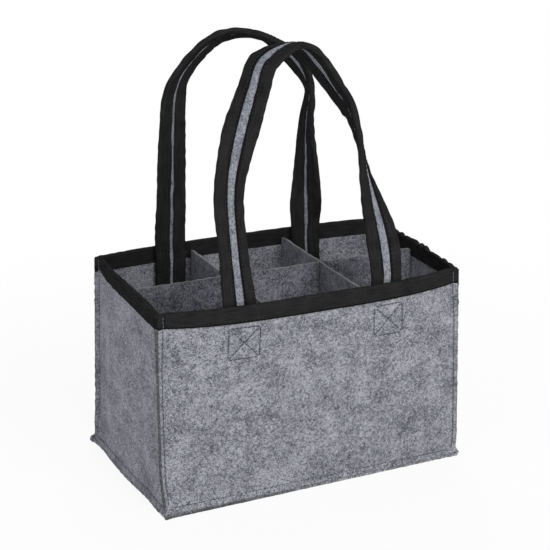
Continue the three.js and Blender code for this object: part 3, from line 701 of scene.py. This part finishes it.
def folded_tape():
    """The edge tape's section in the (edge, face) plane: along the outer face, half an ellipse round the
    strap's edge, back along the inner face, and the same again on the inside. Returns points and the
    distance round."""
    arc = np.linspace(0, math.pi, 9)
    round_e = STRAP_HALF - EDGE_ROUND
    skin_e = np.concatenate([[STRIPE_HALF], np.linspace(STRIPE_HALF + 0.25, round_e - 1, 7),
                             round_e + EDGE_ROUND * np.sin(arc),
                             np.linspace(round_e - 1, BACK_STRIPE_HALF + 0.25, 8), [BACK_STRIPE_HALF]])
    skin_n = np.concatenate([[STRAP_THICK - 0.3], np.full(7, STRAP_THICK), STRAP_THICK * np.cos(arc),
                             np.full(8, -STRAP_THICK), [0.3 - STRAP_THICK]])
    bed_e = np.concatenate([np.linspace(BACK_STRIPE_HALF, round_e - 1, 5),
                            round_e + EDGE_ROUND_INSIDE * np.sin(arc[::2]),
                            np.linspace(round_e - 1, STRIPE_HALF, 5)])
    bed_n = np.concatenate([np.full(5, -STRAP_BED), STRAP_BED * np.cos(arc[::-2]), np.full(5, STRAP_BED)])
    se, sn = np.concatenate([skin_e, bed_e]), np.concatenate([skin_n, bed_n])
    return se, sn, length_along(np.stack([se, sn], -1))


for side, outward in (("front", -1), ("back", 1)):
    line, n, e, curl, s = strap_line(walls[side], outward, routes[side])
    far = s[:, None]
    bend_from, bend_to = hinge_band(walls[side])
    nodes = [f"{side}_handle", f"{side}_left_foot", f"{side}_right_foot"]
    run = np.linspace(-1, 1, 23) * (CORE_HALF - 0.4)
    se = np.concatenate([run[::-1], [-CORE_HALF], run, [CORE_HALF]])
    sn = np.concatenate([np.full(23, CORE_THICK), [0], np.full(23, -CORE_THICK), [0]])
    gape = GAPE * bell(far - gape_middle[side], GAPE_LENGTH)
    stripe = 0.55 * bell(se, 2.6) * (sn > 0) - 0.75 * bell(se, 1.3 + gape) * (sn < 0)
    pile = 0.06 * lumps(far, se + 0 * far, 5, 31)
    rings = on_strap(line, n, e, curl, se + 0 * far, sn + stripe + pile)
    uv = np.stack([far + 0 * se, se + 0 * far], -1) / 1000
    core = carried(f"{side}_strap_felt", rings, uv, strap_felt)
    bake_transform(core)
    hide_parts(*[f"{node}_core" for node in nodes])
    for edge, sign, seed in (("outer", 1, 33), ("inner", -1, 35)):
        se, sn, skin = folded_tape()
        crimp = 0.11 * lumps(far, 0 * far, 8, seed) * smooth(se, 8.5, STRAP_HALF)
        wander = 0.25 * lumps(far, 0 * far, 45, seed + 5) * smooth(se, 8, STRAP_HALF)
        uneven = (gape + 0.3 * lumps(far, 0 * far, 22, seed + 7)) * smooth(sn, 0, -1) * smooth(se, 7, 3)
        slack = np.sign(sn) * 0.2 * lumps(far, se + 0 * far, 14, seed + 1) * (np.abs(sn) > 1.6)
        rings = on_strap(line, n, e, curl, sign * (se + crimp + wander + uneven), sn + slack + 0 * far)
        uv = np.stack([far + 0 * se, skin + 0 * far], -1) / 1000
        tape = carried(f"{side}_strap_{edge}_tape", rings, uv, black_tape)
        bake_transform(tape)
        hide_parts(*[f"{node}_{edge}_tape" for node in nodes])

# Stitching: spun polyester thread in lock stitches about 3 mm long, dark grey on the felt and black on the
# tapes. Each stitch is a short thread that dips into the cloth at both ends.
RINGS, ROUND = 5, 6  # rings along one stitch and points round it
seam_rows = {"front": (-1.75, 1.75), "right": (-WALL_END, WALL_END),
             "back": (-1.75, 1.75), "left": (-1.4, WALL_END)}
tape_end_rows = {"front": (-1.75, 1.75), "right": (WALL_END,), "back": (-1.75, 1.75), "left": (-1.4,)}


def thread_material(name, dark, pale):
    """Spun polyester sewing thread of three twisted strands. The twist, really about 0.7 mm, is drawn as
    slanting bands 2 mm apart to show."""
    material, tree = new_material(name)
    place = add(tree, "ShaderNodeUVMap", uv_map="cloth").outputs["UV"]
    bands = {"Vector": place, "Scale": 320.0, "Distortion": 1.0}
    twist = add(tree, "ShaderNodeTexWave", bands, bands_direction="DIAGONAL").outputs["Fac"]
    ramp = add(tree, "ShaderNodeValToRGB", {"Fac": twist})
    for stop, code in zip(ramp.color_ramp.elements, (dark, pale)):
        stop.color = linear(code)
    strands = add(tree, "ShaderNodeBump", {"Height": twist, "Strength": 0.4, "Distance": 0.0001})
    skin = add(tree, "ShaderNodeBsdfPrincipled", {"Base Color": ramp.outputs["Color"], "Roughness": 0.7,
                                                  "Normal": strands.outputs["Normal"],
                                                  "Specular IOR Level": 0.3})
    add(tree, "ShaderNodeOutputMaterial", {"Surface": skin.outputs["BSDF"]})
    return material


dark_thread = thread_material("dark_grey_spun_polyester_thread", "33363f", "4c4f59")
pale_thread = thread_material("grey_spun_polyester_thread", "5a5d66", "7d8089")
black_thread = thread_material("black_spun_polyester_thread", "121212", "272727")


def sew(name, paths, thread, length, radius, pitch=STITCH_PITCH, sink=0.25):
    """A piece of lock stitches along each path (places and outward directions). A stitch is a tube of
    rings: its middle stands proud by half its radius and its ends dip below the surface by sink."""
    t = np.linspace(0, 1, RINGS)
    arch = np.sin(math.pi * t)
    girth = radius * (0.45 + 0.55 * arch ** 0.6)
    turn = np.linspace(0, 2 * math.pi, ROUND, endpoint=False)
    blocks = []
    for line, normal in paths:
        far = length_along(line)
        at = np.arange(pitch * 0.3, far[-1] - length, pitch)[:, None] + t * length
        spot = np.stack([np.interp(at, far, line[:, k]) for k in range(3)], -1)
        up = unit(np.stack([np.interp(at, far, normal[:, k]) for k in range(3)], -1))
        beside = unit(np.cross(unit(spot[:, -1] - spot[:, 0])[:, None], up))
        spot = spot + up * (arch * (0.5 * radius + sink) - sink)[:, None]
        ring = np.cos(turn)[:, None] * up[:, :, None] + np.sin(turn)[:, None] * beside[:, :, None]
        blocks.append(spot[:, :, None] + girth[:, None, None] * ring)
    tubes = np.concatenate(blocks)
    one = np.arange(RINGS * ROUND).reshape(RINGS, ROUND)
    near = np.roll(one, -1, 1)
    side_faces = np.stack([one[:-1], one[1:], near[1:], near[:-1]], -1).reshape(-1, 4)
    caps = np.stack([one[0], one[-1][::-1]])
    shift = (np.arange(len(tubes)) * RINGS * ROUND)[:, None, None]
    faces = [(side_faces + shift).reshape(-1, 4), (caps + shift).reshape(-1, ROUND)]
    uv = np.meshgrid(np.linspace(0, length, RINGS), np.linspace(0, 2 * radius, ROUND), indexing="ij")
    uv = np.broadcast_to(np.stack(uv, -1) / 1000, (len(tubes), RINGS, ROUND, 2))
    return make_piece(name, tubes, faces, uv, thread)


def wall_row(wall, u, z, w):
    """A stitch path on a wall at distance w from the middle of the felt."""
    u, z = np.broadcast_arrays(np.asarray(u, float), np.asarray(z, float))
    return on_wall(wall, u, z, w), wall_normal(wall, u, z) * np.sign(w)


upright = np.linspace(WALL_FOOT + 4, TAPE_EDGE - 0.5, 160)
through_tape = np.linspace(TAPE_EDGE + 0.2, HEIGHT, 30)
run = np.linspace(-WALL_END, WALL_END, 300)
for side, wall in walls.items():
    level, tilt = tape_level[side]
    base_row = wall_row(wall, run, BASE_STITCH_Z, FELT / 2 - 0.4)
    rim_out = wall_row(wall, run, RIM_STITCH_Z + level + tilt * run, TAPE_FACE - 0.15)
    rim_in = wall_row(wall, run, RIM_STITCH_Z, -TAPE_FACE + 0.05)
    uprights = [wall_row(wall, u, upright, FELT / 2 - 0.15) for u in seam_rows[side]]
    tape_ends = [wall_row(wall, u, through_tape, TAPE_FACE - 0.05) for u in tape_end_rows[side]]
    base = sew(f"{side}_base_stitches", [base_row], dark_thread, length=2.9, radius=0.32)
    rim = sew(f"{side}_rim_stitches", [rim_out, rim_in], black_thread, length=2.3, radius=0.34)
    seams = sew(f"{side}_seam_stitches", uprights, dark_thread, length=2.9, radius=0.32)
    ends_sewn = sew(f"{side}_tape_end_stitches", tape_ends, pale_thread, length=2.2, radius=0.32, pitch=2.8)
    for sewing in (base, rim, seams, ends_sewn):
        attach(sewing, "bag")
    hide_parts(f"{side}_base_thread")
    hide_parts(f"{side}_binding_thread")
    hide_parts(f"{side}_panel_seam_thread_a", f"{side}_panel_seam_thread_b")

# Sewn squares: each strap end is held by a square of stitches with a cross in it, sewn in one run
# through the felt wall: round the square, over one diagonal, down a side and back over the other.
knots = np.array([(-1, -1), (1, -1), (1, 1), (-1, 1), (-1, -1), (1, 1), (1, -1), (-1, 1)])
knots = knots * (BOX_WIDTH / 2, BOX_HEIGHT / 2)
for side in ("front", "back"):
    wall = walls[side]
    for end, sign in (("left", -1), ("right", 1)):
        way = sign if side == "front" else -sign
        paths = []
        for a, b in zip(knots[:-1], knots[1:]):
            t = np.linspace(0, 1, 40)[:, None]
            spot = a + (b - a) * t + 0.25 * np.sin(math.pi * t * 2 + a[0]) * (t * (1 - t))
            u = u_at(wall, way * FOOT_X + spot[:, 0], BOX_MIDDLE_Z)
            paths.append(wall_row(wall, u, BOX_MIDDLE_Z + spot[:, 1], FELT / 2 - 0.32))
        square = sew(f"{side}_{end}_sewn_square", paths, dark_thread, length=3.0, radius=0.38)
        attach(square, "bag")
        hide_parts(f"{side}_{end}_stitch_box")

# Strap stitching: on both faces a row of black stitches holds each folded tape to the felt core,
# close to the tape's edge. It bends with the strap.
STRAP_ROW = 4.6
for side, outward in (("front", -1), ("back", 1)):
    line, n, e, curl, s = strap_line(walls[side], outward, routes[side])
    rows = []
    for at_e in (STRAP_ROW, -STRAP_ROW):
        at_e = np.full((len(s), 1), at_e)
        for face in (1, -1):
            place = on_strap(line, n, e, curl, at_e, face * (STRAP_THICK - 0.1))[:, 0]
            beyond = on_strap(line, n, e, curl, at_e, face * (STRAP_THICK + 0.9))[:, 0]
            rows.append((place, unit(beyond - place)))
    sewing = sew(f"{side}_strap_stitches", rows, black_thread, length=2.5, radius=0.3, pitch=3.4, sink=0.2)
    bend_from, bend_to = hinge_band(walls[side])
    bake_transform(sewing)

# Studio: a pale floor that runs past the picture, a white surround, one broad soft lamp above and in front
# of the bag, weaker ones from the left and from behind, and the camera where the photograph was taken from.
WHITE = (1, 1, 1, 1)
floor_mesh = bpy.data.meshes.new("floor")
floor_mesh.from_pydata([(-9, -9, 0), (9, -9, 0), (9, 9, 0), (-9, 9, 0)], [], [(0, 1, 2, 3)])
floor = bpy.data.objects.new("floor", floor_mesh)
bpy.context.scene.collection.objects.link(floor)


def seen_white(tree):
    """1 for what the camera sees, straight or by a shiny or clear thing, and 0 for light on other things."""
    sight = add(tree, "ShaderNodeLightPath").outputs
    seen = math_node(tree, "MAXIMUM", sight["Is Camera Ray"], sight["Is Glossy Ray"])
    return math_node(tree, "MAXIMUM", seen, sight["Is Transmission Ray"])


paper, tree = new_material("white_studio_paper")
place = add(tree, "ShaderNodeTexCoord").outputs["Object"]
away = add(tree, "ShaderNodeVectorMath", {0: place}, operation="LENGTH").outputs["Value"]
share = ranged(tree, away, 0.2, 0.7, 0.9, 1.0, "SMOOTHSTEP")
glow_share = math_node(tree, "MULTIPLY", seen_white(tree), share)
matt = add(tree, "ShaderNodeBsdfDiffuse", {"Color": linear("fafafa")})
glow = add(tree, "ShaderNodeEmission", {"Color": WHITE, "Strength": 1.0})
mixed = add(tree, "ShaderNodeMixShader", {0: glow_share, 1: matt.outputs[0], 2: glow.outputs[0]})
add(tree, "ShaderNodeOutputMaterial", {"Surface": mixed.outputs[0]})
floor_mesh.materials.append(paper)

world = bpy.data.worlds.new("white_surround")
bpy.context.scene.world = world
world.use_nodes = True
tree = world.node_tree
tree.nodes.clear()
soft = add(tree, "ShaderNodeBackground", {"Color": WHITE, "Strength": 0.4})
white = add(tree, "ShaderNodeBackground", {"Color": WHITE, "Strength": 1.0})
mixed = add(tree, "ShaderNodeMixShader", {0: seen_white(tree), 1: soft.outputs[0], 2: white.outputs[0]})
add(tree, "ShaderNodeOutputWorld", {"Surface": mixed.outputs[0]})

LAMP_SIZE, LAMP_AIM = 1.2, (0, 0, 0.12)


def lamp(name, place, power, colour):
    """A square soft lamp at a place in metres, turned toward the middle of the bag."""
    data = bpy.data.lights.new(name, "AREA")
    data.shape, data.size, data.energy, data.color = "SQUARE", LAMP_SIZE, power, colour
    light = bpy.data.objects.new(name, data)
    bpy.context.scene.collection.objects.link(light)
    way = np.array(LAMP_AIM) - np.array(place)
    tip = math.atan2(math.hypot(way[0], way[1]), -way[2])
    light.location = place
    light.rotation_euler = (tip, 0, math.atan2(way[1], way[0]) - math.pi / 2)


lamp("key_lamp", (0.25, -1.85, 1.5), 30.4, (1, 1, 1))
lamp("fill_lamp", (-1.6, -0.9, 0.9), 5.2, (0.94, 0.97, 1.1))
lamp("back_lamp", (0.5, 1.9, 1.2), 16, (1, 1, 1))

camera_data = bpy.data.cameras.new("camera")
camera = bpy.data.objects.new("camera", camera_data)
bpy.context.scene.collection.objects.link(camera)
bpy.context.scene.camera = camera
camera_data.sensor_width, camera_data.lens = 36.0, 115.73
azimuth, elevation, distance = math.radians(-24.888), math.radians(18.93), 1.3416
aim = (0.000877, 0.0, 0.143695)
camera.location = (aim[0] + distance * math.sin(azimuth) * math.cos(elevation),
                   aim[1] - distance * math.cos(azimuth) * math.cos(elevation),
                   aim[2] + distance * math.sin(elevation))
camera.rotation_euler = (math.pi / 2 - elevation, 0, azimuth)
camera_data.clip_start, camera_data.clip_end = 0.05, 60

bpy.context.scene.view_settings.view_transform = "Standard"
